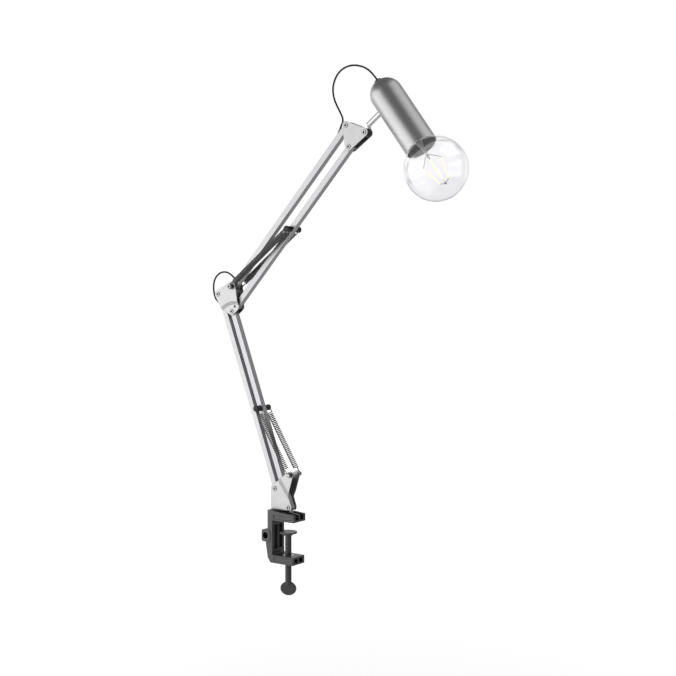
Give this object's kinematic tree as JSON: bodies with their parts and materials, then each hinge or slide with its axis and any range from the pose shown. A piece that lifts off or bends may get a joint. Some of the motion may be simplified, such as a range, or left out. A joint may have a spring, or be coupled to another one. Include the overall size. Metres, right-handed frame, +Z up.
{
  "type": "clip-on desk lamp",
  "caption": "Clip-on desk lamp with a screw clamp, spring-balanced square-tube arms and a round-ended cylinder head holding a clear globe bulb.",
  "frame": {"origin": "on the underside of the clamp's upper jaw, on the clamp screw's axis", "axes": "+Z up, +X out over the desk along the arms' plane, +Y to the far side; the arms lie in the plane Y = 0"},
  "size_m": [0.4675, 0.093, 0.8128],
  "materials": {
    "tube_silver": "satin silver paint",
    "plate_grey": "satin light grey paint",
    "steel": "zinc-plated steel",
    "black_plastic": "matt black",
    "clamp_black": "dark grey moulded, fine grain",
    "nylon": "natural nylon",
    "nickel": "satin nickel plate",
    "chrome": "polished chrome",
    "brass": "bright",
    "holder_black": "moulded black",
    "clear_glass": "clear",
    "filament": "pale yellow phosphor",
    "cord_black": "matt black cord"
  },
  "bodies": {
    "clamp": {"clamp_frame": "clamp_black", "clamp_nut": "steel"},
    "pad": {"pressure_pad": "clamp_black"},
    "screw": {"clamp_screw": "clamp_black"},
    "base": {"base_bracket": "plate_grey", "swivel_disc": "black_plastic", "swivel_bolt": "steel", "swivel_washer": "steel", "swivel_nut": "steel", "base_rear_rivet": "steel", "base_front_rivet": "steel", "base_washers": "nylon", "base_spring_studs": "steel", "lower_near_spring": "steel", "lower_far_spring": "steel"},
    "lower_rear": {"lower_rear_tube": "tube_silver", "lower_cord_bush": "black_plastic", "mains_cord_bush": "black_plastic", "lower_inner_cord": "cord_black"},
    "lower_front": {"lower_front_tube": "tube_silver", "lower_spring_hanger": "black_plastic"},
    "elbow": {"elbow_near_plate": "plate_grey", "elbow_far_plate": "plate_grey", "elbow_rear_rivet": "steel", "elbow_front_rivet": "steel", "elbow_spring_pin": "steel", "elbow_flush_rivet": "steel", "elbow_washers": "nylon", "elbow_spacers": "nylon", "upper_near_spring": "steel", "upper_far_spring": "steel", "elbow_cord_loop": "cord_black"},
    "upper_rear": {"upper_rear_tube": "tube_silver", "elbow_cord_bush": "black_plastic", "head_cord_bush": "black_plastic", "upper_inner_cord": "cord_black"},
    "upper_front": {"upper_front_tube": "tube_silver", "upper_spring_hanger": "black_plastic"},
    "head_bracket": {"head_near_plate": "plate_grey", "head_far_plate": "plate_grey", "head_rear_rivet": "steel", "head_front_rivet": "steel", "head_tilt_rivet": "steel", "head_washers": "nylon", "head_cord_loop": "cord_black"},
    "head": {"head_stem": "chrome", "stem_screw": "steel", "head_shell": "nickel", "cord_gland": "black_plastic", "head_nipple": "brass", "head_lock_nut": "brass", "holder_skirt": "holder_black", "holder_cap": "holder_black", "holder_shell": "brass", "holder_contact": "brass", "bulb_glass": "clear_glass", "bulb_cap": "brass", "bulb_mount": "clear_glass", "bulb_filaments": "filament", "bulb_lead_wires": "steel"}
  },
  "joints": [
    {"name": "base_swivel", "type": "hinge", "parent": "clamp", "child": "base", "pos_m": [-0.0135, 0, 0.0126], "axis": [0, 0, 1], "continuous": true},
    {"name": "pad_travel", "type": "slide", "parent": "clamp", "child": "pad", "axis": [0, 0, 1], "range_m": [-0.027, 0.017]},
    {"name": "screw_turn", "type": "hinge", "parent": "pad", "child": "screw", "pos_m": [0, 0, -0.06], "axis": [0, 0, 1], "range_deg": [-3300, 2100]},
    {"name": "lower_arm", "type": "hinge", "parent": "base", "child": "lower_rear", "pos_m": [-0.022, 0, 0.0489], "axis": [0, 1, 0], "range_deg": [-8, 60], "deforming": ["lower_near_spring", "lower_far_spring"]},
    {"name": "lower_front_link", "type": "hinge", "parent": "base", "child": "lower_front", "pos_m": [0.005, 0, 0.0211], "axis": [0, 1, 0], "range_deg": [-8, 60]},
    {"name": "elbow_level", "type": "hinge", "parent": "lower_rear", "child": "elbow", "pos_m": [-0.13709, 0, 0.35508], "axis": [0, 1, 0], "range_deg": [-60, 8]},
    {"name": "upper_arm", "type": "hinge", "parent": "elbow", "child": "upper_rear", "pos_m": [-0.10839, 0, 0.36718], "axis": [0, 1, 0], "range_deg": [-30, 60], "deforming": ["upper_near_spring", "upper_far_spring", "elbow_cord_loop"]},
    {"name": "upper_front_link", "type": "hinge", "parent": "elbow", "child": "upper_front", "pos_m": [-0.10319, 0, 0.33528], "axis": [0, 1, 0], "range_deg": [-30, 60]},
    {"name": "head_level", "type": "hinge", "parent": "upper_rear", "child": "head_bracket", "pos_m": [0.11443, 0, 0.60446], "axis": [0, 1, 0], "range_deg": [-60, 30]},
    {"name": "head_tilt", "type": "hinge", "parent": "head_bracket", "child": "head", "pos_m": [0.14743, 0, 0.59126], "axis": [0, 1, 0], "range_deg": [-50, 45], "deforming": ["head_cord_loop"]}
  ],
  "couplings": [
    {"joint": "screw_turn", "follows": "pad_travel", "rad_per_m": 2094.4},
    {"joint": "lower_front_link", "follows": "lower_arm", "ratio": 1},
    {"joint": "elbow_level", "follows": "lower_arm", "ratio": -1},
    {"joint": "upper_front_link", "follows": "upper_arm", "ratio": 1},
    {"joint": "head_level", "follows": "upper_arm", "ratio": -1}
  ]
}
